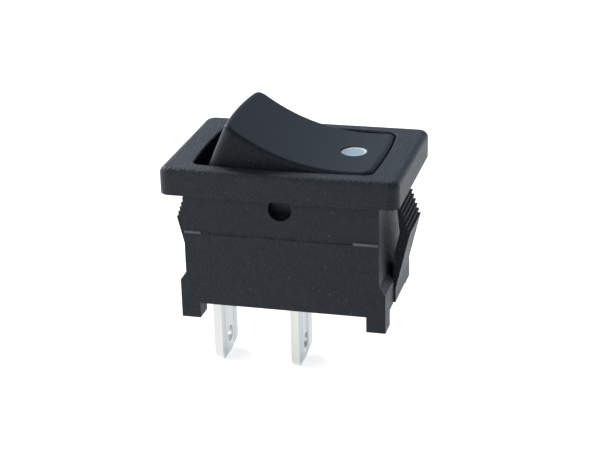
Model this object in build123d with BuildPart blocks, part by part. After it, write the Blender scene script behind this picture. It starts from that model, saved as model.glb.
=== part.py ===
"""Miniature snap-in rocker switch, single pole on/off. Millimetres, +Z up.

The origin is the middle of the bezel's underside, where the panel's face lies.
X runs along the bezel, Y across it, and Z points out of the panel. The switch
stands in its ON position: the marked end of the rocker (+X) is pressed down.
"""
import math
import os

from build123d import *

os.makedirs("parts", exist_ok=True)

# Bezel, the flange that stays in front of the panel
bezel_length = 21.3
bezel_width = 15.0
bezel_height = 2.4
bezel_corner = 1.0
bezel_edge = 0.55

# Body below the bezel, which passes through the panel
body_length = 17.56
body_width = 13.0
end_wall = 0.8
side_wall = 0.78
floor_thickness = 1.17
floor_clearance = 0.37  # under the fixed contact's tail
cavity_corner = 0.8
ledge_drop = 3.78  # bezel underside to the ledge along the long walls
ledge_step = 0.1
mouth_end_bow = 0.27
mouth_side_bow = 0.33
mouth_edge = 0.1

# Snap arms and the blocks that guard their roots
arm_width = 5.2
arm_top = 1.3  # all depths are measured down from the bezel's underside
arm_top_reach = 1.1  # reaches are measured out from the body's end face
arm_top_thickness = 0.32
latch_depth = 3.95
latch_reach = 1.98
latch_thickness = 0.95
arm_waist_depth = 5.8
arm_waist_gap = 0.62
arm_root_height = 1.4  # heights are measured up from the body's underside
arm_root_reach = 0.72
arm_root_gap = 0.32
arm_slit = 0.25
arm_recess = 0.12
tooth_count = 6
tooth_ledge = 0.25
block_reach = 0.55
block_height = 2.97
block_slope = 0.8
rear_block_reach = 0.17
foot_length = 1.73
foot_width = 1.93
foot_height = 1.43

# Rocker, in its own frame: origin on the pivot, z square to its seat
rocker_tilt = 15.3
pivot_depth = 1.1
side_clearance = 0.22
end_clearance = 0.38
skirt_level = 1.25
end_draft = 8.15
end_crown = 0.3
dish_level = 4.25
dish_radius = 17.2
rocker_corner = 1.0
rocker_edge = 0.4
rocker_wall = 0.9
panel_drop = 1.6
panel_foot = 4.8
panel_inset = 1.2
boss_radius = 1.0
boss_clearance = 0.05
boss_end_clearance = 0.2
boss_chord = 0.55
boss_ramp = 0.75
rib_thickness = 1.0
rib_drop = 0.8
dot_radius = 1.165
dot_inset = 3.5  # rocker's end to the middle of the mark
dot_depth = 0.3
dot_sink = 0.03
dot_fit = 0.01

# Plunger and spring inside the rocker's barrel
barrel_radius = 2.0
barrel_drop = 3.3
barrel_blind_level = 2.6
plunger_radius = 1.35
plunger_fit = 0.06
plunger_top = -0.6
plunger_shank_drop = 3.9
plunger_cone_drop = 4.3
nose_radius = 0.7
nose_drop = 5.0
spring_seat_drop = 3.4
spring_wire = 0.25
spring_wire_sides = 5  # five flats stand for the round wire and keep it light
spring_turns = 6.0
spring_fit = 0.06
spring_bore_radius = 0.95

# Contact bridge, a pressed strip that rocks on the common terminal
strip_thickness = 0.35
strip_width = 4.4
neck_width = 2.3
neck_length = 1.5
bridge_tilt = 8.0
trough_radius = 2.7
trough_half_angle = 38.0
nose_gap = 0.08
bridge_right = 4.6

# Contacts
contact_radius = 1.3
contact_height = 0.6
fixed_contact_height = 0.5
contact_edge = 0.12
contact_gap = 0.03
rivet_radius = 0.7
rivet_fit = 0.01
rivet_tail_radius = 0.95
rivet_tail_height = 0.25
rivet_tail_gap = 0.1

# Terminals, plated strip with a tab below the floor
tab_width = 4.8
tab_thickness = 0.8
tab_reach = 8.13  # below the body's underside
tab_end_radius = 1.6
tab_coin = 0.25
tab_coin_height = 0.8
wire_hole_radius = 0.75
wire_hole_rise = 2.2
slot_clearance = 0.05
shoulder_width = 6.2
shoulder_height = 1.1
throw_wall_gap = 0.23
shelf_margin = 0.1
ear_height = 0.83  # above the fulcrum
cradle_clearance = 0.15
fulcrum_gap = 0.07

# Rib that stops the open bridge
stop_near = 3.2
stop_length = 1.4
stop_width = 3.6
stop_gap = 0.08

# What follows from the sizes above
half_body = body_length / 2
tooth_pitch = (latch_depth - arm_top) / tooth_count
tooth_step = (latch_reach - arm_top_reach) / tooth_count
cavity_length = body_length - 2 * end_wall
cavity_width = body_width - 2 * side_wall
rocker_length = cavity_length - 2 * end_clearance
rocker_width = cavity_width - 2 * side_clearance
dot_offset = rocker_length / 2 - dot_inset
boss_reach = body_width / 2 - ledge_step - boss_end_clearance
pivot_point = Vector(0, 0, -pivot_depth)
rocker_along = Vector(1, 0, 0).rotate(Axis.Y, rocker_tilt)
rocker_up = Vector(0, 0, 1).rotate(Axis.Y, rocker_tilt)
rocker_side = Plane(origin=pivot_point, x_dir=rocker_along, z_dir=(0, -1, 0))
rocker_top = Plane(origin=pivot_point, x_dir=rocker_along, z_dir=rocker_up)
rocker_end = Plane(origin=pivot_point, x_dir=(0, 1, 0), z_dir=rocker_along)

# The fixed contact stands as near the throw terminal's tab as its tail allows
throw_offset = cavity_length / 2 - throw_wall_gap - tab_thickness / 2
throw_inner = throw_offset - tab_thickness / 2
throw_outer = throw_offset + tab_thickness / 2
contact_offset = throw_inner - rivet_tail_gap - rivet_tail_radius
shelf_end = contact_offset - contact_radius - shelf_margin
bridge_left = contact_offset + contact_radius

# The bridge turns about the bottom of its trough, just above the terminal's cradle
fulcrum_depth = pivot_depth + nose_drop + nose_radius + nose_gap + strip_thickness
strip_radius = trough_radius + strip_thickness
trough_end = strip_radius * math.sin(math.radians(trough_half_angle))
trough_rise = strip_radius * (1 - math.cos(math.radians(trough_half_angle)))
wing_slope = math.tan(math.radians(bridge_tilt))
bridge_along = Vector(1, 0, 0).rotate(Axis.Y, -bridge_tilt)
bridge_up = Vector(0, 0, 1).rotate(Axis.Y, -bridge_tilt)
bridge_side = Plane(origin=(0, 0, -fulcrum_depth), x_dir=bridge_along, z_dir=(0, -1, 0))
bridge_top = Plane(origin=(0, 0, -fulcrum_depth), x_dir=bridge_along, z_dir=bridge_up)

# The lowered wing lies level, so the contacts meet square
wing_level = bridge_side.from_local_coords((-trough_end, trough_rise)).Z
contact_level = wing_level - contact_height
shelf_level = contact_level - contact_gap - fixed_contact_height

# The floor lies under the lowest contact, and the outside follows it down
floor_depth = tab_thickness + rivet_tail_height + floor_clearance - shelf_level
body_depth = floor_depth + floor_thickness
arm_root_depth = body_depth - arm_root_height
block_top_depth = body_depth - block_height
block_slope_depth = block_top_depth + block_slope
tab_end_depth = body_depth + tab_reach
ear_depth = fulcrum_depth - ear_height


def bowed_outline(length, width, end_bow, side_bow, corner):
    """Return a rounded rectangle whose ends and sides bow outward."""
    half_length = length / 2
    half_width = width / 2
    with BuildSketch() as outline:
        with BuildLine():
            ThreePointArc(
                (-half_length, -half_width), (0, -half_width - side_bow), (half_length, -half_width)
            )
            ThreePointArc(
                (half_length, -half_width), (half_length + end_bow, 0), (half_length, half_width)
            )
            ThreePointArc(
                (half_length, half_width), (0, half_width + side_bow), (-half_length, half_width)
            )
            ThreePointArc(
                (-half_length, half_width), (-half_length - end_bow, 0), (-half_length, -half_width)
            )
        make_face()
        fillet(outline.vertices(), corner)
    return outline.sketch


def key_end_outline():
    """Return the plan of the rocker from one crowned end inward; the end's middle is at the origin."""
    half_width = rocker_width / 2
    with BuildSketch() as outline:
        with BuildLine():
            ThreePointArc((-end_crown, -half_width), (0, 0), (-end_crown, half_width))
            Polyline(
                (-end_crown, half_width),
                (-2 * rocker_length, half_width),
                (-2 * rocker_length, -half_width),
                (-end_crown, -half_width),
            )
        make_face()
        fillet(outline.vertices().group_by(Axis.X)[-1], rocker_corner)
    return outline.sketch


def tab_outline(head_level):
    """Return the front view of a terminal up to head_level: tab, wire hole and shoulders."""
    tab_length = tab_end_depth + head_level
    with BuildSketch() as outline:
        with Locations((0, -tab_end_depth)):
            Rectangle(tab_width, tab_length, align=(Align.CENTER, Align.MIN))
        fillet(outline.vertices().group_by(Axis.Y)[0], tab_end_radius)
        with Locations((0, -floor_depth)):
            Rectangle(shoulder_width, shoulder_height, align=(Align.CENTER, Align.MIN))
        with Locations((0, wire_hole_rise - tab_end_depth)):
            Circle(wire_hole_radius, mode=Mode.SUBTRACT)
    return outline.sketch


# Housing: bezel, body, snap arms, blocks and feet are one moulding
mouth = bowed_outline(cavity_length, cavity_width, mouth_end_bow, mouth_side_bow, cavity_corner)

with BuildPart() as housing:
    with BuildSketch():
        RectangleRounded(bezel_length, bezel_width, bezel_corner)
    extrude(amount=bezel_height)
    fillet(housing.edges().group_by(Axis.Z)[-1], bezel_edge)

    # Body section with the ledge along both long walls
    with BuildSketch(Plane.YZ) as body_section:
        with BuildLine():
            Polyline(
                (0, 0),
                (body_width / 2 - ledge_step, 0),
                (body_width / 2 - ledge_step, -ledge_drop),
                (body_width / 2, -ledge_drop - ledge_step),
                (body_width / 2, -body_depth),
                (0, -body_depth),
                close=True,
            )
        make_face()
        mirror(about=Plane.YZ)
    extrude(amount=half_body, both=True)

    # Shallow recess in the end face behind the arm
    with BuildSketch(Plane.YZ.offset(half_body)):
        with Locations((0, -arm_root_depth)):
            Rectangle(arm_width + 2 * arm_slit, arm_root_depth, align=(Align.CENTER, Align.MIN))
    extrude(amount=-arm_recess, mode=Mode.SUBTRACT)

    # Snap arm; each tooth is a ledge that catches the panel and a flank that leans in to the next
    with BuildSketch(Plane.XZ) as arm_section:
        with BuildLine():
            Polyline(
                (half_body + arm_top_reach - arm_top_thickness, -arm_top),
                (half_body + arm_top_reach, -arm_top),
                (half_body + latch_reach, -latch_depth),
                (half_body + arm_root_reach, -arm_root_depth),
                (half_body + arm_root_reach, -body_depth),
                (half_body - end_wall / 2, -body_depth),
                (half_body - end_wall / 2, -arm_root_depth),
                (half_body + arm_root_gap, -arm_root_depth),
                (half_body + arm_waist_gap, -arm_waist_depth),
                (half_body + latch_reach - latch_thickness, -latch_depth),
                close=True,
            )
        make_face()
        for tooth in range(tooth_count):
            crest = (half_body + arm_top_reach + tooth * tooth_step, -arm_top - tooth * tooth_pitch)
            ledge_crest = (crest[0] + tooth_step, crest[1] - tooth_pitch)
            with BuildLine():
                Polyline(crest, ledge_crest, (ledge_crest[0] - tooth_ledge, ledge_crest[1]), close=True)
            make_face(mode=Mode.SUBTRACT)
    extrude(amount=arm_width / 2, both=True)

    # Arm root, joined to the guarding block in front of it
    with BuildSketch(Plane.XY.offset(-body_depth)):
        with Locations((half_body, 0)):
            Rectangle(2 * arm_root_reach, arm_width + 2 * arm_slit)
    extrude(amount=body_depth - arm_root_depth)

    # Front block beside the arm, with a sloping top
    with BuildSketch(Plane.XZ.offset(body_width / 2)):
        with BuildLine():
            Polyline(
                (half_body - end_wall / 2, -block_top_depth),
                (half_body, -block_top_depth),
                (half_body + block_reach, -block_slope_depth),
                (half_body + block_reach, -body_depth),
                (half_body - end_wall / 2, -body_depth),
                close=True,
            )
        make_face()
    extrude(amount=-(body_width / 2 - arm_width / 2 - arm_slit))

    # Rear block, narrower
    with BuildSketch(Plane.XZ.offset(-body_width / 2)):
        with BuildLine():
            Polyline(
                (half_body - end_wall / 2, -block_slope_depth),
                (half_body, -block_slope_depth),
                (half_body + rear_block_reach, -block_slope_depth - rear_block_reach),
                (half_body + rear_block_reach, -body_depth),
                (half_body - end_wall / 2, -body_depth),
                close=True,
            )
        make_face()
    extrude(amount=foot_width)

    # Feet under the blocks
    with BuildSketch(Plane.XY.offset(-body_depth)):
        with Locations((half_body + block_reach, -body_width / 2)):
            Rectangle(foot_length, foot_width, align=(Align.MAX, Align.MIN))
        with Locations((half_body + rear_block_reach, body_width / 2)):
            Rectangle(foot_length - block_reach + rear_block_reach, foot_width, align=(Align.MAX, Align.MAX))
    extrude(amount=-foot_height)
    mirror(about=Plane.YZ)

    # Cavity for the mechanism, opening through the bowed mouth in the bezel
    with BuildSketch(Plane.XY.offset(-floor_depth)):
        RectangleRounded(cavity_length, cavity_width, cavity_corner)
    extrude(amount=floor_depth, mode=Mode.SUBTRACT)
    with BuildSketch():
        add(mouth)
    extrude(amount=bezel_height, mode=Mode.SUBTRACT)
    mouth_rim = housing.edges().group_by(Axis.Z)[-1].filter_by(
        lambda edge: abs(edge.center().X) < half_body and abs(edge.center().Y) < body_width / 2
    )
    chamfer(mouth_rim, mouth_edge)

    # Pivot holes through both long walls
    with BuildSketch(Plane.XZ):
        with Locations((0, -pivot_depth)):
            Circle(boss_radius + boss_clearance)
    extrude(amount=body_width, both=True, mode=Mode.SUBTRACT)

    # Slots for the terminals; the third place stays closed
    with BuildSketch(Plane.XY.offset(-floor_depth)):
        with Locations((0, 0), (-throw_offset, 0)):
            Rectangle(tab_thickness + 2 * slot_clearance, tab_width + 2 * slot_clearance)
    extrude(amount=-floor_thickness, mode=Mode.SUBTRACT)

    # Rib that carries the bridge's free end when the switch is off
    with BuildSketch(Plane.XY.offset(-floor_depth)):
        with Locations((stop_near, 0)):
            Rectangle(stop_length, stop_width, align=(Align.MIN, Align.CENTER))
    extrude(amount=floor_depth + wing_level - stop_gap)

housing.part.label = "housing"
export_step(housing.part, "parts/housing.step")


# Rocker: dished key, side panels with pivot bosses, and the plunger's barrel
key_end = key_end_outline()
key_height = dish_level + dish_radius - skirt_level
dish_centre = rocker_side.from_local_coords((0, dish_level + dish_radius))
dot_normal = rocker_up.rotate(Axis.Y, -math.degrees(math.asin(dot_offset / dish_radius)))
dot_face = Plane(origin=dish_centre - dot_normal * dish_radius, x_dir=(0, 1, 0), z_dir=dot_normal)

with BuildPart() as rocker:
    # Each end leans inward by its draft, and the key is what both ends enclose
    for end, mode in ((1, Mode.ADD), (-1, Mode.INTERSECT)):
        end_middle = rocker_side.from_local_coords((end * rocker_length / 2, skirt_level))
        end_lean = rocker_up.rotate(Axis.Y, -end * end_draft)
        end_out = (end * rocker_along).rotate(Axis.Y, -end * end_draft)
        with BuildSketch(Plane(origin=end_middle, x_dir=end_out, z_dir=end_lean)):
            add(key_end)
        extrude(amount=key_height, both=True, mode=mode)
    with BuildSketch(rocker_side):
        with Locations((0, skirt_level)):
            Rectangle(2 * rocker_length, key_height, align=(Align.CENTER, Align.MIN))
        with Locations((0, dish_level + dish_radius)):
            Circle(dish_radius, mode=Mode.SUBTRACT)
    extrude(amount=rocker_width, both=True, mode=Mode.INTERSECT)
    underside = rocker.faces().sort_by(Axis(pivot_point, rocker_up))[0]
    offset(amount=-rocker_wall, openings=underside)
    dish = rocker.faces().sort_by(Axis(pivot_point, rocker_up))[-1]
    fillet(dish.edges(), rocker_edge)

    # Side panels that reach down past the pivot
    with BuildSketch(rocker_side.offset(rocker_width / 2 - rocker_wall)):
        with BuildLine():
            Polyline(
                (-rocker_length / 2 + panel_inset, skirt_level + rocker_wall),
                (-rocker_length / 2 + panel_inset, skirt_level),
                (-panel_foot / 2, -panel_drop),
                (panel_foot / 2, -panel_drop),
                (rocker_length / 2 - panel_inset, skirt_level),
                (rocker_length / 2 - panel_inset, skirt_level + rocker_wall),
                close=True,
            )
        make_face()
    side_panel = extrude(amount=rocker_wall)
    mirror(side_panel, about=Plane.XZ)

    # Pivot bosses, ramped below so that the key snaps into the housing
    with BuildSketch(rocker_side.offset(rocker_width / 2 - rocker_wall / 2)):
        Circle(boss_radius)
    pivot_boss = extrude(amount=boss_reach - rocker_width / 2 + rocker_wall / 2)
    mirror(pivot_boss, about=Plane.XZ)
    with BuildSketch(rocker_end):
        with BuildLine():
            Polyline(
                (-boss_reach, boss_chord),
                (-boss_reach - boss_radius, boss_chord),
                (-boss_reach - boss_radius, -boss_radius),
                (-boss_reach + boss_ramp, -boss_radius),
                close=True,
            )
        make_face()
    boss_cut = extrude(amount=boss_radius, both=True, mode=Mode.SUBTRACT)
    mirror(boss_cut, about=Plane.XZ, mode=Mode.SUBTRACT)

    # Barrel for the plunger, tied to the side walls by a cross rib
    with BuildSketch(rocker_top.offset(-barrel_drop)):
        Circle(barrel_radius)
    extrude(amount=barrel_drop + dish_level - rocker_wall / 2)
    with BuildSketch(rocker_top.offset(-rib_drop)):
        Rectangle(rib_thickness, rocker_width - rocker_wall)
    extrude(amount=rib_drop + dish_level - rocker_wall / 2)
    with BuildSketch(rocker_top.offset(-barrel_drop)):
        Circle(plunger_radius + plunger_fit)
    extrude(amount=barrel_drop + barrel_blind_level, mode=Mode.SUBTRACT)

    # Pocket for the mark
    with BuildSketch(dot_face):
        Circle(dot_radius + dot_fit)
    extrude(amount=dot_depth, both=True, mode=Mode.SUBTRACT)

rocker.part.label = "rocker"
export_step(rocker.part, "parts/rocker.step")


# Mark on the ON end, a disc of light plastic let into the dish
with BuildPart() as on_dot:
    with BuildSketch(dot_face.offset(-dot_depth)):
        Circle(dot_radius)
    extrude(amount=dot_depth - dot_sink)

on_dot.part.label = "on_dot"
export_step(on_dot.part, "parts/on_dot.step")


# Plunger: a hollow pin whose round nose slides in the bridge's trough
with BuildPart() as plunger:
    with BuildSketch(rocker_side):
        with BuildLine():
            Polyline(
                (0, plunger_top),
                (plunger_radius, plunger_top),
                (plunger_radius, -plunger_shank_drop),
                (nose_radius, -plunger_cone_drop),
                (nose_radius, -nose_drop),
            )
            CenterArc((0, -nose_drop), nose_radius, 0, -90)
            Line((0, -nose_drop - nose_radius), (0, plunger_top))
        make_face()
    revolve(axis=Axis(pivot_point, rocker_up))
    with BuildSketch(rocker_top.offset(plunger_top)):
        Circle(spring_bore_radius)
    extrude(amount=-(spring_seat_drop + plunger_top), mode=Mode.SUBTRACT)

plunger.part.label = "plunger"
export_step(plunger.part, "parts/plunger.step")


# Spring between the blind end of the barrel and the plunger
spring_length = spring_seat_drop + barrel_blind_level
coil_radius = spring_bore_radius - spring_fit - spring_wire / 2

with BuildPart() as plunger_spring:
    with BuildLine() as coil:
        Helix(
            pitch=(spring_length - spring_wire) / spring_turns,
            height=spring_length - spring_wire,
            radius=coil_radius,
            center=rocker_top.from_local_coords((0, 0, spring_wire / 2 - spring_seat_drop)),
            direction=rocker_up,
        )
    with BuildSketch(Plane(origin=coil.line @ 0, z_dir=coil.line % 0)):
        RegularPolygon(spring_wire / 2, spring_wire_sides)
    sweep(is_frenet=True)

plunger_spring.part.label = "plunger_spring"
export_step(plunger_spring.part, "parts/plunger_spring.step")


# Contact bridge: a strip pressed into a trough with a wing at each side
wing_end_left = trough_rise + (bridge_left - trough_end) * wing_slope
wing_end_right = trough_rise + (bridge_right - trough_end) * wing_slope

with BuildPart() as contact_bridge:
    with BuildSketch(bridge_side):
        with BuildLine():
            Line((-bridge_left, wing_end_left), (-trough_end, trough_rise))
            ThreePointArc((-trough_end, trough_rise), (0, 0), (trough_end, trough_rise))
            Line((trough_end, trough_rise), (bridge_right, wing_end_right))
            offset(amount=strip_thickness, side=Side.LEFT)
        make_face()
    extrude(amount=strip_width / 2, both=True)
    with BuildSketch(bridge_top):
        with GridLocations(0, strip_width, 1, 2):
            Rectangle(neck_length, strip_width - neck_width)
    extrude(amount=trough_radius, both=True, mode=Mode.SUBTRACT)
    with BuildSketch(Plane.XY.offset(wing_level)):
        with Locations((-contact_offset, 0)):
            Circle(rivet_radius + rivet_fit)
    extrude(amount=strip_thickness, both=True, mode=Mode.SUBTRACT)

contact_bridge.part.label = "contact_bridge"
export_step(contact_bridge.part, "parts/contact_bridge.step")


# Moving contact, riveted under the bridge's left wing
with BuildPart() as bridge_contact:
    with BuildSketch(Plane.XY.offset(wing_level)):
        with Locations((-contact_offset, 0)):
            Circle(contact_radius)
    extrude(amount=-contact_height)
    chamfer(bridge_contact.edges().group_by(Axis.Z)[0], contact_edge)
    with BuildSketch(Plane.XY.offset(wing_level)):
        with Locations((-contact_offset, 0)):
            Circle(rivet_radius)
    extrude(amount=strip_thickness)
    with BuildSketch(Plane.XY.offset(wing_level + strip_thickness)):
        with Locations((-contact_offset, 0)):
            Circle(rivet_tail_radius)
    extrude(amount=rivet_tail_height)

bridge_contact.part.label = "bridge_contact"
export_step(bridge_contact.part, "parts/bridge_contact.step")


# Fixed contact, riveted through the throw terminal's shelf
with BuildPart() as fixed_contact:
    with BuildSketch(Plane.XY.offset(shelf_level)):
        with Locations((-contact_offset, 0)):
            Circle(contact_radius)
    extrude(amount=fixed_contact_height)
    chamfer(fixed_contact.edges().group_by(Axis.Z)[-1], contact_edge)
    with BuildSketch(Plane.XY.offset(shelf_level)):
        with Locations((-contact_offset, 0)):
            Circle(rivet_radius)
    extrude(amount=-tab_thickness)
    with BuildSketch(Plane.XY.offset(shelf_level - tab_thickness)):
        with Locations((-contact_offset, 0)):
            Circle(rivet_tail_radius)
    extrude(amount=-rivet_tail_height)

fixed_contact.part.label = "fixed_contact"
export_step(fixed_contact.part, "parts/fixed_contact.step")


# Common terminal: a tab whose forked head cradles the bridge
cradle_depth = fulcrum_depth + fulcrum_gap

with BuildPart() as common_terminal:
    with BuildSketch(Plane.XZ):
        with BuildLine():
            Polyline(
                (0, -tab_end_depth),
                (tab_thickness / 2 - tab_coin, -tab_end_depth),
                (tab_thickness / 2, -tab_end_depth + tab_coin_height),
                (tab_thickness / 2, -ear_depth),
                (0, -ear_depth),
                close=True,
            )
        make_face()
        mirror(about=Plane.YZ)
    extrude(amount=shoulder_width, both=True)
    with BuildSketch(Plane.YZ) as common_front:
        add(tab_outline(-ear_depth))
        with Locations((0, -cradle_depth)):
            Rectangle(
                neck_width + 2 * cradle_clearance,
                cradle_depth,
                align=(Align.CENTER, Align.MIN),
                mode=Mode.SUBTRACT,
            )
    extrude(amount=tab_thickness, both=True, mode=Mode.INTERSECT)

common_terminal.part.label = "common_terminal"
export_step(common_terminal.part, "parts/common_terminal.step")


# Throw terminal: the same tab, folded inward into the shelf for the fixed contact
with BuildPart() as throw_terminal:
    with BuildSketch(Plane.XZ):
        with BuildLine():
            Polyline(
                (-throw_offset + tab_thickness / 2 - tab_coin, -tab_end_depth),
                (-throw_inner, -tab_end_depth + tab_coin_height),
                (-throw_inner, shelf_level - tab_thickness),
                (-shelf_end, shelf_level - tab_thickness),
                (-shelf_end, shelf_level),
                (-throw_outer, shelf_level),
                (-throw_outer, -tab_end_depth + tab_coin_height),
                (-throw_offset - tab_thickness / 2 + tab_coin, -tab_end_depth),
                close=True,
            )
        make_face()
    extrude(amount=shoulder_width, both=True)
    with BuildSketch(Plane.YZ):
        add(tab_outline(shelf_level))
    extrude(amount=-body_length, mode=Mode.INTERSECT)
    with BuildSketch(Plane.XY.offset(shelf_level)):
        with Locations((-contact_offset, 0)):
            Circle(rivet_radius + rivet_fit)
    extrude(amount=-tab_thickness, mode=Mode.SUBTRACT)

throw_terminal.part.label = "throw_terminal"
export_step(throw_terminal.part, "parts/throw_terminal.step")
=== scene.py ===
"""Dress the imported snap-in rocker switch and set it in a plain pale studio.

The solids keep the shapes that the frame gives them. This script gives each one its finish, adds the
small forms that only show close up, and places the lamps and the camera. Lengths are in metres unless
a name ends in _mm.
"""
import logging
import math
from dataclasses import dataclass, field
from enum import Enum

import bmesh
import bpy
from mathutils import Matrix, Vector

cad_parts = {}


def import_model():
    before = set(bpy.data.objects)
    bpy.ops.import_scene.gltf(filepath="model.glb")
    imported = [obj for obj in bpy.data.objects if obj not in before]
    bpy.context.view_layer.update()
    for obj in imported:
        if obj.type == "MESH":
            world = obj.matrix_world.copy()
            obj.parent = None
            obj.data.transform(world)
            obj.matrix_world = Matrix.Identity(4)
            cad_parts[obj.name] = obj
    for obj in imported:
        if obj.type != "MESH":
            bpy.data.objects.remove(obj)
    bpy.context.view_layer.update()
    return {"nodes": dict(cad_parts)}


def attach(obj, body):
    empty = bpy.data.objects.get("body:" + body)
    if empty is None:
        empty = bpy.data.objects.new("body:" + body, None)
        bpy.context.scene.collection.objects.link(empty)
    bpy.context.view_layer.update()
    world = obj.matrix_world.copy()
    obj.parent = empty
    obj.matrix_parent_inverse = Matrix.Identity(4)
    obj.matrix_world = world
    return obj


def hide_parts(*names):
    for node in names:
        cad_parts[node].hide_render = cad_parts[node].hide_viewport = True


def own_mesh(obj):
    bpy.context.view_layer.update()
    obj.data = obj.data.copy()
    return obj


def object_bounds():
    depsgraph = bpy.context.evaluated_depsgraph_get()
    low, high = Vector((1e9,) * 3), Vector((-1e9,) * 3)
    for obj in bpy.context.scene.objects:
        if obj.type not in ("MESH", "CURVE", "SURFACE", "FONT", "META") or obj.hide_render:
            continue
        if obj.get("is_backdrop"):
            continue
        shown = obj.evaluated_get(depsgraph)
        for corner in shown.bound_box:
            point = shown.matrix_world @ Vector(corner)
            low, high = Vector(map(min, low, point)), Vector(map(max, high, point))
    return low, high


MM = 0.001
MERGE_DISTANCE = 0.001 * MM
SHARP_DEGREES = 50.0  # corners sharper than this keep their crease

log = logging.getLogger("rocker_switch")

Colour = tuple[float, float, float]
Point = tuple[float, float, float]
Pair = tuple[float, float]
Span = tuple[float, float]
Outline = tuple[Pair, ...]
Nodes = dict[str, bpy.types.Object]
Source = bpy.types.NodeSocket | float | Colour

ORIGIN: Point = (0.0, 0.0, 0.0)
UPWARD: Point = (0.0, 0.0, 1.0)
WHITE: Colour = (1.0, 1.0, 1.0)
NONE_TO_FULL: Span = (0.0, 1.0)
FULL_TO_NONE: Span = (1.0, 0.0)


class Socket(Enum):
    """Kinds of socket that the shared effects use."""

    VALUE = "NodeSocketFloat"
    VECTOR = "NodeSocketVector"


class Lay(Enum):
    """Direction in which a metal strip was rolled, as the stretch of its marks along x, y and z."""

    ALONG_X = (0.06, 1.0, 1.0)
    ALONG_Y = (1.0, 0.06, 1.0)
    ALONG_Z = (1.0, 1.0, 0.06)


class NodeSheet:
    """A thin helper that adds, fills and joins nodes in one node tree."""

    def __init__(self, tree: bpy.types.NodeTree) -> None:
        """Start on an empty tree.

        Args:
            tree: the node tree to fill.
        """
        self.tree = tree
        tree.nodes.clear()

    def feed(self, target: bpy.types.NodeSocket, source: Source) -> None:
        """Join an output to an input, or set the input to a plain value.

        Args:
            target: the input.
            source: an output socket, a number, a vector or a colour.
        """
        if isinstance(source, bpy.types.NodeSocket):
            self.tree.links.new(source, target)
        elif target.type == "RGBA":
            target.default_value = (*source, 1.0)
        else:
            target.default_value = source

    def add(
        self, kind: str, inputs: dict[int | str, Source] | None = None, **settings: object
    ) -> bpy.types.Node:
        """Add a node, set its properties and fill its inputs.

        Args:
            kind: the node's type name.
            inputs: what each input is fed, by the input's name or number.
            settings: properties of the node, by name.

        Returns:
            The new node.
        """
        node = self.tree.nodes.new(kind)
        for name, value in settings.items():
            setattr(node, name, value)
        for place, source in (inputs or {}).items():
            self.feed(node.inputs[place], source)
        return node

    def math(self, operation: str, first: Source, second: Source = 0.0) -> bpy.types.NodeSocket:
        """Add a Math node on two numbers or sockets.

        Args:
            operation: the node's operation.
            first: a number or an output socket.
            second: a number or an output socket.

        Returns:
            The result's socket.
        """
        return self.add("ShaderNodeMath", {0: first, 1: second}, operation=operation).outputs[0]

    def span(
        self, value: bpy.types.NodeSocket, source: Span, target: Span = NONE_TO_FULL
    ) -> bpy.types.NodeSocket:
        """Map a value from one span to another, held inside it.

        Args:
            value: the socket to map.
            source: the span that the value runs over.
            target: what the two ends of that span become.

        Returns:
            The mapped value's socket.
        """
        ends = {"From Min": source[0], "From Max": source[1], "To Min": target[0], "To Max": target[1]}
        return self.add("ShaderNodeMapRange", {"Value": value, **ends}).outputs["Result"]

    def mix(self, factor: Source, first: Source, second: Source) -> bpy.types.NodeSocket:
        """Mix two colours.

        Args:
            factor: a number or a socket, 0 for the first and 1 for the second.
            first: a colour or a socket.
            second: a colour or a socket.

        Returns:
            The mixed colour's socket.
        """
        return self.add("ShaderNodeMix", {0: factor, 6: first, 7: second}, data_type="RGBA").outputs[2]

    def noise(
        self, place: bpy.types.NodeSocket, per_metre: Source, detail: float, roughness: float = 0.5
    ) -> bpy.types.NodeSocket:
        """Add a noise texture.

        Args:
            place: the socket with the point.
            per_metre: the noise's scale, a number or a socket.
            detail: octaves of detail.
            roughness: strength of the finer octaves.

        Returns:
            The noise value's socket.
        """
        inputs = {"Vector": place, "Scale": per_metre, "Detail": detail, "Roughness": roughness}
        return self.add("ShaderNodeTexNoise", inputs).outputs["Fac"]

    def relief(
        self, height: bpy.types.NodeSocket, depth_mm: float, normal: bpy.types.NodeSocket
    ) -> bpy.types.NodeSocket:
        """Add a bump of a real depth.

        Args:
            height: the socket with the height, from 0 to 1.
            depth_mm: how deep the whole height is.
            normal: the socket with the normal that the bump starts from.

        Returns:
            The bumped normal's socket.
        """
        inputs = {"Strength": 1.0, "Distance": depth_mm * MM, "Height": height, "Normal": normal}
        return self.add("ShaderNodeBump", inputs).outputs["Normal"]

    def surface(self, inputs: dict[int | str, Source]) -> None:
        """End a material in one Principled surface.

        Args:
            inputs: what each of the shader's inputs is fed, by name.
        """
        shader = self.add("ShaderNodeBsdfPrincipled", inputs)
        self.add("ShaderNodeOutputMaterial", {"Surface": shader.outputs[0]})


def new_material(name: str) -> tuple[bpy.types.Material, NodeSheet]:
    """Start a material.

    Args:
        name: the material's name.

    Returns:
        The material and its empty node sheet.
    """
    material = bpy.data.materials.new(name)
    material.use_nodes = True
    return material, NodeSheet(material.node_tree)


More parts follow.
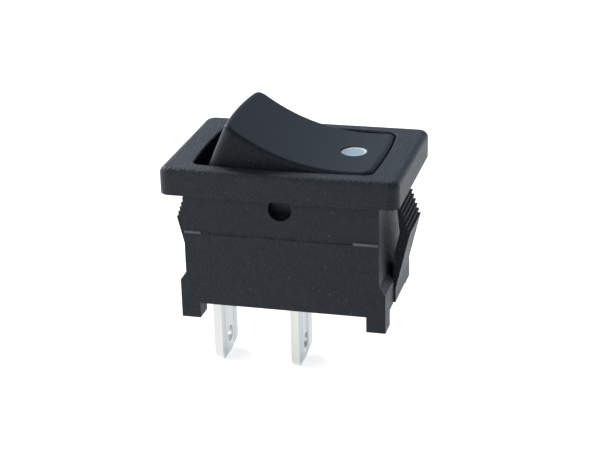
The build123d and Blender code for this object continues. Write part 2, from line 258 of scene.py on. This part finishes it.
class SharedEffect:
    """A node group with named inputs and outputs that several finishes use."""

    def __init__(
        self, name: str, inputs: dict[str, tuple[Socket, float]], outputs: dict[str, Socket]
    ) -> None:
        """Make the group and its sockets.

        Args:
            name: the group's name.
            inputs: kind and default of each input, by name.
            outputs: kind of each output, by name.
        """
        self.tree = bpy.data.node_groups.new(name, "ShaderNodeTree")
        self.sheet = NodeSheet(self.tree)
        for label, (kind, default) in inputs.items():
            socket = self.tree.interface.new_socket(label, in_out="INPUT", socket_type=kind.value)
            if kind is Socket.VALUE:
                socket.default_value = default
        for label, kind in outputs.items():
            self.tree.interface.new_socket(label, in_out="OUTPUT", socket_type=kind.value)
        self.given = self.sheet.add("NodeGroupInput").outputs
        self.result = self.sheet.add("NodeGroupOutput").inputs

    def give(self, **results: bpy.types.NodeSocket) -> None:
        """Join the group's results to its outputs.

        Args:
            results: the result for each output, by the output's name.
        """
        for name, result in results.items():
            self.sheet.feed(self.result[name], result)

    def place_in(
        self, sheet: NodeSheet, inputs: dict[int | str, Source]
    ) -> bpy.types.bpy_prop_collection:
        """Place the group in a material.

        Args:
            sheet: the material's node sheet.
            inputs: what each of the group's inputs is fed, by name.

        Returns:
            The placed group's outputs.
        """
        return sheet.add("ShaderNodeGroup", inputs, node_tree=self.tree).outputs


class MouldGrain(SharedEffect):
    """The fine sparked texture that a mould leaves on plastic, with a few paler specks in it."""

    FINE_NOISE: Pair = (2.0, 0.6)  # detail and roughness
    FINE_SHARE: float = 0.6
    BROAD_SCALE: float = 0.3
    BROAD_NOISE: Pair = (3.0, 0.55)
    BROAD_SHARE: float = 0.4
    SPECK_SCALE: float = 0.5
    SPECK_RIM: Span = (0.10, 0.34)  # in widths of a cell

    def __init__(self) -> None:
        """Build the group."""
        super().__init__(
            "mould_grain",
            {
                "Place": (Socket.VECTOR, 0.0),
                "Grain per metre": (Socket.VALUE, 9000.0),
                "Speck share": (Socket.VALUE, 0.05),
            },
            {"Height": Socket.VALUE, "Mottle": Socket.VALUE, "Specks": Socket.VALUE},
        )
        sheet, place, per_metre = self.sheet, self.given["Place"], self.given["Grain per metre"]
        fine = sheet.noise(place, per_metre, *self.FINE_NOISE)
        broad = sheet.noise(place, sheet.math("MULTIPLY", per_metre, self.BROAD_SCALE), *self.BROAD_NOISE)
        fine_part = sheet.math("MULTIPLY", fine, self.FINE_SHARE)
        broad_part = sheet.math("MULTIPLY", broad, self.BROAD_SHARE)
        cell_scale = sheet.math("MULTIPLY", per_metre, self.SPECK_SCALE)
        cells = sheet.add("ShaderNodeTexVoronoi", {"Vector": place, "Scale": cell_scale}, feature="F1")
        shade = sheet.add("ShaderNodeSeparateColor", {0: cells.outputs["Color"]}).outputs[0]
        chosen = sheet.math("LESS_THAN", shade, self.given["Speck share"])
        near = sheet.span(cells.outputs["Distance"], self.SPECK_RIM, FULL_TO_NONE)
        self.give(
            Height=fine,
            Mottle=sheet.math("ADD", fine_part, broad_part),
            Specks=sheet.math("MULTIPLY", chosen, near),
        )


class SoftEdges(SharedEffect):
    """The small radius that every moulded or pressed edge has, and how near an edge a point lies."""

    SAMPLES: int = 6
    TURNED_AWAY: Span = (0.98, 0.80)  # how far the rounded normal leaves the flat one, as a cosine

    def __init__(self) -> None:
        """Build the group."""
        super().__init__(
            "soft_edges",
            {"Radius": (Socket.VALUE, 0.0001)},
            {"Normal": Socket.VECTOR, "Edge": Socket.VALUE},
        )
        sheet = self.sheet
        bevel = sheet.add("ShaderNodeBevel", {"Radius": self.given["Radius"]}, samples=self.SAMPLES)
        rounded = bevel.outputs["Normal"]
        flat = sheet.add("ShaderNodeNewGeometry").outputs["Normal"]
        agreement = sheet.add("ShaderNodeVectorMath", {0: rounded, 1: flat}, operation="DOT_PRODUCT")
        self.give(Normal=rounded, Edge=sheet.span(agreement.outputs["Value"], self.TURNED_AWAY))


class RolledMarks(SharedEffect):
    """Fine lines along the rolling direction of a metal strip, with a soft clouding over them."""

    LINE_NOISE: Pair = (3.0, 0.6)  # detail and roughness
    CLOUD_SCALE: float = 0.10
    CLOUD_DETAIL: float = 3.0

    def __init__(self) -> None:
        """Build the group."""
        super().__init__(
            "rolled_marks",
            {"Place": (Socket.VECTOR, 0.0), "Marks per metre": (Socket.VALUE, 12000.0)},
            {"Height": Socket.VALUE, "Cloud": Socket.VALUE},
        )
        sheet, place, per_metre = self.sheet, self.given["Place"], self.given["Marks per metre"]
        cloud_scale = sheet.math("MULTIPLY", per_metre, self.CLOUD_SCALE)
        self.give(
            Height=sheet.noise(place, per_metre, *self.LINE_NOISE),
            Cloud=sheet.noise(place, cloud_scale, self.CLOUD_DETAIL),
        )


@dataclass(frozen=True)
class Effects:
    """The shared effects, built once."""

    grain: MouldGrain
    edges: SoftEdges
    marks: RolledMarks


@dataclass(frozen=True)
class PlasticFinish:
    """A moulded plastic, plain or with a painted highlight on the rim of a round mark."""

    name: str
    colour: Colour
    mottled: Colour
    speck: Colour
    # The edge colour and its share stand partly for wear and partly for a painted highlight along the edges.
    rubbed_and_lit_edge_colour: Colour
    roughness: Span = (0.42, 0.58)
    specular: float = 0.25
    gloss_tint: Colour = WHITE
    grain_per_metre: float = 9000.0
    grain_depth_mm: float = 0.006
    speck_share: float = 0.05
    mottle_span: Span = (0.40, 0.60)
    gloss_span: Span = (0.3, 0.7)
    edge_radius_mm: float = 0.12
    rubbed_and_lit_edge_share: float = 0.35
    # The rim fields lay a painted highlight, the reflection of a round mark's lip.
    rim_highlight_colour: Colour = WHITE
    rim_highlight_radii_mm: Span | None = None
    rim_highlight_centre: Point = ORIGIN

    def _with_rim_highlight(
        self, sheet: NodeSheet, place: bpy.types.NodeSocket, colour: bpy.types.NodeSocket
    ) -> bpy.types.NodeSocket:
        """Lay a painted highlight on the rim of a round mark over its colour.

        Args:
            sheet: the material's node sheet.
            place: the socket with the point.
            colour: the socket with the colour so far.

        Returns:
            The colour's socket, with the painted rim highlight where the finish has one.
        """
        if self.rim_highlight_radii_mm is None:
            return colour
        to_centre = tuple(-part for part in self.rim_highlight_centre)
        centred = sheet.add("ShaderNodeMapping", {"Vector": place, "Location": to_centre}).outputs[0]
        reach = sheet.add("ShaderNodeVectorMath", {0: centred}, operation="LENGTH").outputs["Value"]
        inner, outer = (radius * MM for radius in self.rim_highlight_radii_mm)
        # Paler towards the lip: a painted highlight standing in for the lip's reflection.
        return sheet.mix(sheet.span(reach, (inner, outer)), colour, self.rim_highlight_colour)

    def material(self, effects: Effects) -> bpy.types.Material:
        """Build the material.

        Args:
            effects: the shared effects.

        Returns:
            The finished material.
        """
        made, sheet = new_material(self.name)
        place = sheet.add("ShaderNodeTexCoord").outputs["Object"]
        grain = effects.grain.place_in(
            sheet, {"Place": place, "Grain per metre": self.grain_per_metre, "Speck share": self.speck_share}
        )
        edges = effects.edges.place_in(sheet, {"Radius": self.edge_radius_mm * MM})
        colour = sheet.mix(sheet.span(grain["Mottle"], self.mottle_span), self.colour, self.mottled)
        colour = sheet.mix(grain["Specks"], colour, self.speck)
        # Near edges the colour goes towards the paler edge colour: partly wear, partly a painted highlight
        # along the rounded edges.
        colour = sheet.mix(sheet.math("MULTIPLY", edges["Edge"], self.rubbed_and_lit_edge_share), colour, self.rubbed_and_lit_edge_colour)
        sheet.surface({
            "Base Color": self._with_rim_highlight(sheet, place, colour),
            "Roughness": sheet.span(grain["Mottle"], self.gloss_span, self.roughness),
            "Specular IOR Level": self.specular,
            "Specular Tint": self.gloss_tint,
            "Normal": sheet.relief(grain["Height"], self.grain_depth_mm, edges["Normal"]),
        })
        return made


@dataclass(frozen=True)
class MetalFinish:
    """A bare or plated metal strip, wire or rivet."""

    name: str
    colour: Colour
    clouded: Colour
    rubbed_and_lit_edge_colour: Colour
    lay: Lay
    roughness: Span = (0.22, 0.38)
    marks_per_metre: float = 12000.0
    mark_depth_mm: float = 0.002
    cloud_span: Span = (0.35, 0.65)
    gloss_span: Span = (0.3, 0.7)
    edge_radius_mm: float = 0.08
    rubbed_and_lit_edge_share: float = 0.4
    cut_edge: Colour | None = None
    cut_span: Span = (0.3, 0.8)
    flat_normal: Point = (1.0, 0.0, 0.0)

    def _cut(
        self, sheet: NodeSheet, normal: bpy.types.NodeSocket, colour: bpy.types.NodeSocket
    ) -> bpy.types.NodeSocket:
        """Lay the other colour of the cut edges over a strip's colour.

        Args:
            sheet: the material's node sheet.
            normal: the socket with the piece's own normal.
            colour: the socket with the colour so far.

        Returns:
            The colour's socket, with the cut edges where the finish has them.
        """
        if self.cut_edge is None:
            return colour
        turned = sheet.add("ShaderNodeVectorMath", {0: normal, 1: self.flat_normal}, operation="DOT_PRODUCT")
        facing = sheet.math("ABSOLUTE", turned.outputs["Value"])
        return sheet.mix(sheet.span(facing, self.cut_span, FULL_TO_NONE), colour, self.cut_edge)

    def material(self, effects: Effects) -> bpy.types.Material:
        """Build the material.

        Args:
            effects: the shared effects.

        Returns:
            The finished material.
        """
        made, sheet = new_material(self.name)
        points = sheet.add("ShaderNodeTexCoord").outputs
        stretched = sheet.add("ShaderNodeMapping", {"Vector": points["Object"], "Scale": self.lay.value})
        marks = effects.marks.place_in(
            sheet, {"Place": stretched.outputs["Vector"], "Marks per metre": self.marks_per_metre}
        )
        edges = effects.edges.place_in(sheet, {"Radius": self.edge_radius_mm * MM})
        colour = sheet.mix(sheet.span(marks["Cloud"], self.cloud_span), self.colour, self.clouded)
        colour = self._cut(sheet, points["Normal"], colour)
        # Near edges the colour goes towards the paler edge colour: partly wear, partly a painted highlight
        # along the rounded edges.
        colour = sheet.mix(sheet.math("MULTIPLY", edges["Edge"], self.rubbed_and_lit_edge_share), colour, self.rubbed_and_lit_edge_colour)
        sheet.surface({
            "Base Color": colour,
            "Metallic": 1.0,
            "Roughness": sheet.span(marks["Cloud"], self.gloss_span, self.roughness),
            "Normal": sheet.relief(marks["Height"], self.mark_depth_mm, edges["Normal"]),
        })
        return made


COOL_GLOSS: Colour = (0.88, 0.95, 1.0)
MARK_CENTRE: Point = (5.203 * MM, 0.0, 2.2305 * MM)

BODY_PLASTIC = PlasticFinish(
    name="body_plastic",
    colour=(0.006, 0.007, 0.009),
    mottled=(0.015, 0.017, 0.020),
    speck=(0.05, 0.054, 0.062),
    rubbed_and_lit_edge_colour=(0.08, 0.088, 0.096),
    roughness=(0.34, 0.50),
    specular=0.24,
    gloss_tint=COOL_GLOSS,
    grain_per_metre=5500.0,
    grain_depth_mm=0.12,
    edge_radius_mm=0.05,
    rubbed_and_lit_edge_share=0.6,
)
ROCKER_PLASTIC = PlasticFinish(
    name="rocker_plastic",
    colour=(0.005, 0.006, 0.007),
    mottled=(0.014, 0.015, 0.018),
    speck=(0.05, 0.054, 0.062),
    rubbed_and_lit_edge_colour=(0.030, 0.034, 0.040),
    roughness=(0.36, 0.50),
    specular=0.15,
    gloss_tint=COOL_GLOSS,
    grain_depth_mm=0.012,
    edge_radius_mm=0.25,
)
# Pale grey paint for the ledge beads: a painted highlight where the ledge catches the light.
LEDGE_HIGHLIGHT_PAINT = PlasticFinish(
    name="ledge_highlight_paint",
    colour=(0.09, 0.096, 0.104),
    mottled=(0.13, 0.138, 0.146),
    speck=(0.18, 0.188, 0.196),
    rubbed_and_lit_edge_colour=(0.16, 0.168, 0.176),
    roughness=(0.34, 0.50),
    specular=0.24,
    gloss_tint=COOL_GLOSS,
    grain_depth_mm=0.012,
    edge_radius_mm=0.02,
)
DOT_PLASTIC = PlasticFinish(
    name="dot_plastic",
    colour=(0.37, 0.54, 0.65),
    mottled=(0.44, 0.61, 0.72),
    speck=(0.54, 0.69, 0.79),
    rubbed_and_lit_edge_colour=(0.78, 0.88, 0.92),
    grain_depth_mm=0.002,
    edge_radius_mm=0.05,
    # The paler lip colour is a painted highlight, the reflection that the mark's rounded lip throws.
    rim_highlight_colour=(0.82, 0.90, 0.93),
    rim_highlight_radii_mm=(0.9215, 0.9991),
    rim_highlight_centre=MARK_CENTRE,
)
PLUNGER_PLASTIC = PlasticFinish(
    name="plunger_plastic",
    colour=(0.78, 0.76, 0.70),
    mottled=(0.72, 0.70, 0.63),
    speck=(0.80, 0.78, 0.73),
    rubbed_and_lit_edge_colour=(0.84, 0.83, 0.78),
    roughness=(0.30, 0.42),
    grain_depth_mm=0.002,
    edge_radius_mm=0.05,
)
TERMINAL_PLATING = MetalFinish(
    name="terminal_plating",
    colour=(0.56, 0.565, 0.555),
    clouded=(0.45, 0.46, 0.46),
    rubbed_and_lit_edge_colour=(0.67, 0.665, 0.64),
    lay=Lay.ALONG_Z,
    roughness=(0.28, 0.45),
    mark_depth_mm=0.004,
    cut_edge=(0.66, 0.64, 0.59),
)
BRIDGE_COPPER = MetalFinish(
    name="bridge_copper",
    colour=(0.72, 0.47, 0.28),
    clouded=(0.60, 0.38, 0.23),
    rubbed_and_lit_edge_colour=(0.82, 0.58, 0.38),
    lay=Lay.ALONG_X,
)
CONTACT_SILVER = MetalFinish(
    name="contact_silver",
    colour=(0.80, 0.80, 0.78),
    clouded=(0.70, 0.70, 0.69),
    rubbed_and_lit_edge_colour=(0.88, 0.88, 0.86),
    lay=Lay.ALONG_Y,
    roughness=(0.30, 0.45),
    edge_radius_mm=0.05,
)
SPRING_STEEL = MetalFinish(
    name="spring_steel",
    colour=(0.55, 0.55, 0.56),
    clouded=(0.45, 0.45, 0.47),
    rubbed_and_lit_edge_colour=(0.65, 0.65, 0.66),
    lay=Lay.ALONG_Z,
    roughness=(0.18, 0.30),
    edge_radius_mm=0.03,
)


def put_in_order(form: bmesh.types.BMesh) -> None:
    """Number a form's points and faces by their place, as some operators number them by chance.

    Args:
        form: the form to put in order.
    """
    for rank, point in enumerate(sorted(form.verts, key=lambda point: point.co[:])):
        point.index = rank
    for rank, face in enumerate(sorted(form.faces, key=lambda face: face.calc_center_median()[:])):
        face.index = rank
    form.verts.sort()
    form.faces.sort()


def finished_piece(name: str, form: bmesh.types.BMesh) -> bpy.types.Object:
    """Make a piece of a finished form, smooth but for its corners.

    Args:
        name: the piece's name.
        form: the form, in its place; it is freed.

    Returns:
        The piece, with its place in its mesh.
    """
    put_in_order(form)
    mesh = bpy.data.meshes.new(name)
    form.to_mesh(mesh)
    form.free()
    mesh.shade_smooth()
    mesh.set_sharp_from_angle(angle=math.radians(SHARP_DEGREES))
    piece = bpy.data.objects.new(name, mesh)
    bpy.context.scene.collection.objects.link(piece)
    return piece


def turned_piece(name: str, outline_mm: Outline, steps: int, place: Matrix) -> bpy.types.Object:
    """Turn an outline about its own axis into a closed piece, and set it in its place.

    Args:
        name: the piece's name.
        outline_mm: radius and height of each point, from axis to axis.
        steps: sides of the full turn.
        place: where the piece's middle goes and which way its axis points.

    Returns:
        The piece, with its place in its mesh.
    """
    form = bmesh.new()
    points = [form.verts.new((radius * MM, 0.0, height * MM)) for radius, height in outline_mm]
    lines = [form.edges.new(pair) for pair in zip(points, points[1:])]
    bmesh.ops.spin(
        form, geom=points + lines, cent=ORIGIN, axis=UPWARD, angle=math.tau, steps=steps, use_merge=True
    )
    bmesh.ops.remove_doubles(form, verts=form.verts, dist=MERGE_DISTANCE)
    bmesh.ops.recalc_face_normals(form, faces=form.faces)
    bmesh.ops.transform(form, matrix=place, verts=form.verts)
    return finished_piece(name, form)


def dress(node: bpy.types.Object, material: bpy.types.Material) -> None:
    """Give a piece its material, and report it.

    Args:
        node: a node as the frame holds it, or a new piece.
        material: the finished material.
    """
    if not node.material_slots:
        node.data.materials.append(material)
    for held in node.material_slots:
        held.material = material
    log.info("%s dressed in %s", node.name, material.name)


@dataclass
class Housing:
    """The moulded housing with its riveted terminals."""

    plastic: PlasticFinish = BODY_PLASTIC
    plating: MetalFinish = TERMINAL_PLATING
    contact: MetalFinish = CONTACT_SILVER
    # The ledge beads' pale paint is a painted highlight.
    highlight_paint: PlasticFinish = LEDGE_HIGHLIGHT_PAINT
    highlight_bead_radii_mm: Pair = (0.10, 0.13)
    highlight_bead_sides: int = 16
    highlight_bead_end_mm: float = 0.06
    highlight_bead_end_steps: int = 3
    highlight_bead_crease: float = 1.0  # edges that turn further, in radians, are the ends' rims
    highlight_bead_level_mm: float = -3.76
    highlight_bead_reach_mm: float = 6.43
    highlight_bead_spans_mm: tuple[Span, ...] = ((-8.75, -7.2), (6.5, 8.7))

    def _lay_ledge_highlight(self, effects: Effects) -> None:
        """Lay a rounded bead at both ends of the ledge, on each long wall, in a pale paint that is a painted
        highlight where the ledge catches the light.

        Args:
            effects: the shared effects.
        """
        form = bmesh.new()
        proud, high = self.highlight_bead_radii_mm
        along_x = Matrix.Rotation(math.radians(90.0), 4, "Y")
        shape = Matrix.Diagonal((1.0, proud * MM, high * MM, 1.0)) @ along_x
        for side in (-1.0, 1.0):
            for start, end in self.highlight_bead_spans_mm:
                middle = (0.5 * (start + end), side * self.highlight_bead_reach_mm, self.highlight_bead_level_mm)
                bmesh.ops.create_cone(
                    form, cap_ends=True, segments=self.highlight_bead_sides, radius1=1.0, radius2=1.0,
                    depth=(end - start) * MM, matrix=Matrix.Translation(Vector(middle) * MM) @ shape,
                )
        rims = [edge for edge in form.edges if edge.calc_face_angle() > self.highlight_bead_crease]
        bmesh.ops.bevel(
            form, geom=rims, offset=self.highlight_bead_end_mm * MM, affect="EDGES", segments=self.highlight_bead_end_steps,
            profile=0.5, material=-1, clamp_overlap=True,
        )
        bmesh.ops.recalc_face_normals(form, faces=form.faces)
        # The bead carries the painted ledge highlight.
        piece = finished_piece("painted_ledge_highlight", form)
        dress(piece, self.highlight_paint.material(effects))
        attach(piece, "housing")

    def build(self, nodes: Nodes, effects: Effects) -> None:
        """Dress the housing and what is fixed in it.

        Args:
            nodes: the frame's nodes, by name.
            effects: the shared effects.
        """
        plating = self.plating.material(effects)
        dress(nodes["housing"], self.plastic.material(effects))
        dress(nodes["common_terminal"], plating)
        dress(nodes["throw_terminal"], plating)
        dress(nodes["fixed_contact"], self.contact.material(effects))
        self._lay_ledge_highlight(effects)


@dataclass
class RockerKey:
    """The dished key with its mark, plunger and spring."""

    plastic: PlasticFinish = ROCKER_PLASTIC
    mark: PlasticFinish = DOT_PLASTIC
    pin: PlasticFinish = PLUNGER_PLASTIC
    wire: MetalFinish = SPRING_STEEL
    mark_centre: Point = MARK_CENTRE
    mark_tilt_degrees: float = -1.51
    mark_sides: int = 64
    mark_outline_mm: Outline = (
        (0.0, -0.135), (1.165, -0.135), (1.165, 0.125), (1.15, 0.15), (1.12, 0.16), (1.08, 0.155),
        (1.0, 0.115), (0.85, 0.095), (0.45, 0.085), (0.0, 0.08),
    )
    coil_radius_mm: float = 0.765
    coil_wire_mm: float = 0.25
    coil_wire_sides: int = 12
    coil_steps: int = 24  # for each turn
    coil_runs: tuple[tuple[int, float], ...] = ((1, 0.28), (4, 1.2925), (1, 0.28))  # turns and pitch in mm
    coil_foot: Point = (-0.862 * MM, 0.0, -4.249 * MM)
    coil_head: Point = (0.686 * MM, 0.0, 1.408 * MM)
    coil_axis: Point = (0.263873, 0.0, 0.964557)
    coil_keep: float = 0.9

    def _coil(self, effects: Effects) -> None:
        """Wind the round spring wire, with a closed turn at each end, in the place of the flat-sided one.

        Args:
            effects: the shared effects.
        """
        form = bmesh.new()
        start = Matrix.Translation((self.coil_radius_mm * MM, 0.0, 0.0))
        wire = bmesh.ops.create_circle(
            form, cap_ends=False, segments=self.coil_wire_sides, radius=0.5 * self.coil_wire_mm * MM,
            matrix=start @ Matrix.Rotation(math.radians(90.0), 4, "X"),
        )["verts"]
        run = wire + list({edge for vertex in wire for edge in vertex.link_edges})
        for turns, pitch_mm in self.coil_runs:
            run = bmesh.ops.spin(
                form, geom=run, cent=ORIGIN, axis=UPWARD, angle=turns * math.tau,
                steps=turns * self.coil_steps, dvec=(0.0, 0.0, pitch_mm / self.coil_steps * MM),
            )["geom_last"]
        bmesh.ops.holes_fill(form, edges=[edge for edge in form.edges if edge.is_boundary], sides=0)
        bmesh.ops.recalc_face_normals(form, faces=form.faces)
        lean = Vector(UPWARD).rotation_difference(Vector(self.coil_axis)).to_matrix().to_4x4()
        bmesh.ops.transform(form, matrix=Matrix.Translation(self.coil_foot) @ lean, verts=form.verts)
        coil = finished_piece("wound_spring", form)
        dress(coil, self.wire.material(effects))
        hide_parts("plunger_spring")
        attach(coil, "rocker")
        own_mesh(coil)

    def _mark(self, effects: Effects) -> None:
        """Set the dished mark with its rounded lip in the place of the plain disc.

        Args:
            effects: the shared effects.
        """
        tilt = Matrix.Rotation(math.radians(self.mark_tilt_degrees), 4, "Y")
        place = Matrix.Translation(self.mark_centre) @ tilt
        mark = turned_piece("dished_mark", self.mark_outline_mm, self.mark_sides, place)
        dress(mark, self.mark.material(effects))
        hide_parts("on_dot")
        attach(mark, "rocker")

    def build(self, nodes: Nodes, effects: Effects) -> None:
        """Dress the key and what it carries.

        Args:
            nodes: the frame's nodes, by name.
            effects: the shared effects.
        """
        dress(nodes["rocker"], self.plastic.material(effects))
        self._mark(effects)
        dress(nodes["plunger"], self.pin.material(effects))
        self._coil(effects)


@dataclass
class ContactBridge:
    """The rocking strip and the contact riveted under its wing."""

    strip: MetalFinish = BRIDGE_COPPER
    contact: MetalFinish = CONTACT_SILVER

    def build(self, nodes: Nodes, effects: Effects) -> None:
        """Dress the strip and its contact.

        Args:
            nodes: the frame's nodes, by name.
            effects: the shared effects.
        """
        dress(nodes["contact_bridge"], self.strip.material(effects))
        dress(nodes["bridge_contact"], self.contact.material(effects))


@dataclass(frozen=True)
class SoftLamp:
    """A square studio lamp that looks at the switch."""

    name: str
    place: Point
    width: float
    watts: float

    def build(self) -> None:
        """Hang the lamp."""
        lamp = bpy.data.lights.new(self.name, "AREA")
        lamp.size = self.width
        lamp.energy = self.watts
        stand = bpy.data.objects.new(self.name, lamp)
        stand.location = self.place
        stand.rotation_euler = (-Vector(self.place)).to_track_quat("-Z", "Y").to_euler()
        bpy.context.scene.collection.objects.link(stand)


@dataclass
class Studio:
    """Pale floor, white surroundings, soft lamps and the camera."""

    floor_width: float = 3.0
    floor_colour: Colour = (0.82, 0.82, 0.82)
    floor_glow: float = 0.72
    daylight: float = 0.36
    mirrored_sky: Colour = (0.57, 0.70, 0.85)
    mirrored_floor: Colour = (0.96, 1.06, 1.15)
    lamps: list[SoftLamp] = field(default_factory=lambda: [
        SoftLamp("key_lamp", (-0.36, 0.30, 0.30), 0.20, 1.3),
        SoftLamp("front_lamp", (-0.25, -0.30, 0.14), 0.25, 0.75),
        SoftLamp("left_lamp", (-0.40, 0.02, 0.05), 0.20, 0.42),
        SoftLamp("window_lamp", (-0.36, 0.30, 0.12), 0.25, 0.45),
    ])
    azimuth: float = 14.913
    elevation: float = 21.923
    roll: float = -1.429
    distance: float = 0.147486
    aim: Pair = (-0.000214, 0.004647)
    lens: float = 98.67
    sensor_width: float = 36.0
    clip: Span = (0.01, 10.0)

    def build(self) -> None:
        """Set up everything round the switch."""
        self._floor()
        self._daylight()
        for lamp in self.lamps:
            lamp.build()
        self._camera()
        bpy.context.scene.view_settings.view_transform = "Standard"

    def _seen_in(
        self, sheet: NodeSheet, mirrored: Colour
    ) -> tuple[bpy.types.NodeSocket, bpy.types.NodeSocket]:
        """Tell the rays that show the surroundings from those that only light things.

        Args:
            sheet: the material's or the world's node sheet.
            mirrored: the colour that the surroundings have in a reflection or through glass.

        Returns:
            A socket that is 1 for rays from the camera, mirrors or glass and 0 for diffuse light, and
            the surroundings' colour for that ray.
        """
        path = sheet.add("ShaderNodeLightPath").outputs
        shiny = sheet.math("MAXIMUM", path["Is Glossy Ray"], path["Is Transmission Ray"])
        shown = sheet.math("MAXIMUM", path["Is Camera Ray"], shiny)
        return shown, sheet.mix(shiny, WHITE, mirrored)

    def _floor(self) -> None:
        """Lay the floor just under the terminals' tips."""
        low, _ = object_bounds()
        form = bmesh.new()
        bmesh.ops.create_grid(
            form, x_segments=1, y_segments=1, size=self.floor_width / 2,
            matrix=Matrix.Translation((0.0, 0.0, low.z)),
        )
        floor = finished_piece("floor", form)
        material, sheet = new_material("floor_paint")
        shown, tint = self._seen_in(sheet, self.mirrored_floor)
        strength = sheet.math("MULTIPLY", shown, self.floor_glow)
        paint = sheet.add("ShaderNodeBsdfDiffuse", {"Color": self.floor_colour}).outputs[0]
        glow = sheet.add("ShaderNodeEmission", {"Color": tint, "Strength": strength}).outputs[0]
        both = sheet.add("ShaderNodeAddShader", {0: paint, 1: glow}).outputs[0]
        sheet.add("ShaderNodeOutputMaterial", {"Surface": both})
        dress(floor, material)
        floor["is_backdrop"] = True

    def _daylight(self) -> None:
        """Make the surroundings white, and plain daylight for what they light."""
        world = bpy.data.worlds.new("studio")
        bpy.context.scene.world = world
        world.use_nodes = True
        sheet = NodeSheet(world.node_tree)
        shown, tint = self._seen_in(sheet, self.mirrored_sky)
        strength = sheet.span(shown, NONE_TO_FULL, (self.daylight, 1.0))
        back = sheet.add("ShaderNodeBackground", {"Color": tint, "Strength": strength}).outputs[0]
        sheet.add("ShaderNodeOutputWorld", {"Surface": back})

    def _camera(self) -> None:
        """Place the camera."""
        azimuth, elevation, roll = map(math.radians, (self.azimuth, self.elevation, self.roll))
        ahead = Vector((
            -math.sin(azimuth) * math.cos(elevation),
            math.cos(azimuth) * math.cos(elevation),
            -math.sin(elevation),
        ))
        level = Vector((math.cos(azimuth), math.sin(azimuth), 0.0))
        right = math.cos(roll) * level + math.sin(roll) * level.cross(ahead)
        above = right.cross(ahead)
        place = -self.aim[0] * right - self.aim[1] * above - self.distance * ahead
        data = bpy.data.cameras.new("camera")
        data.lens = self.lens
        data.sensor_width = self.sensor_width
        data.clip_start, data.clip_end = self.clip
        camera = bpy.data.objects.new("camera", data)
        axes = Matrix((right, above, -ahead)).transposed().to_4x4()
        camera.matrix_world = Matrix.Translation(place) @ axes
        bpy.context.scene.collection.objects.link(camera)
        bpy.context.scene.camera = camera


def main() -> None:
    """Build the dressed switch and its studio."""
    logging.basicConfig(level=logging.INFO, format="%(name)s: %(message)s")
    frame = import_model()
    effects = Effects(MouldGrain(), SoftEdges(), RolledMarks())
    for assembly in (Housing(), RockerKey(), ContactBridge()):
        assembly.build(frame["nodes"], effects)
        log.info("%s done", type(assembly).__name__)
    Studio().build()


if __name__ == "__main__":
    main()
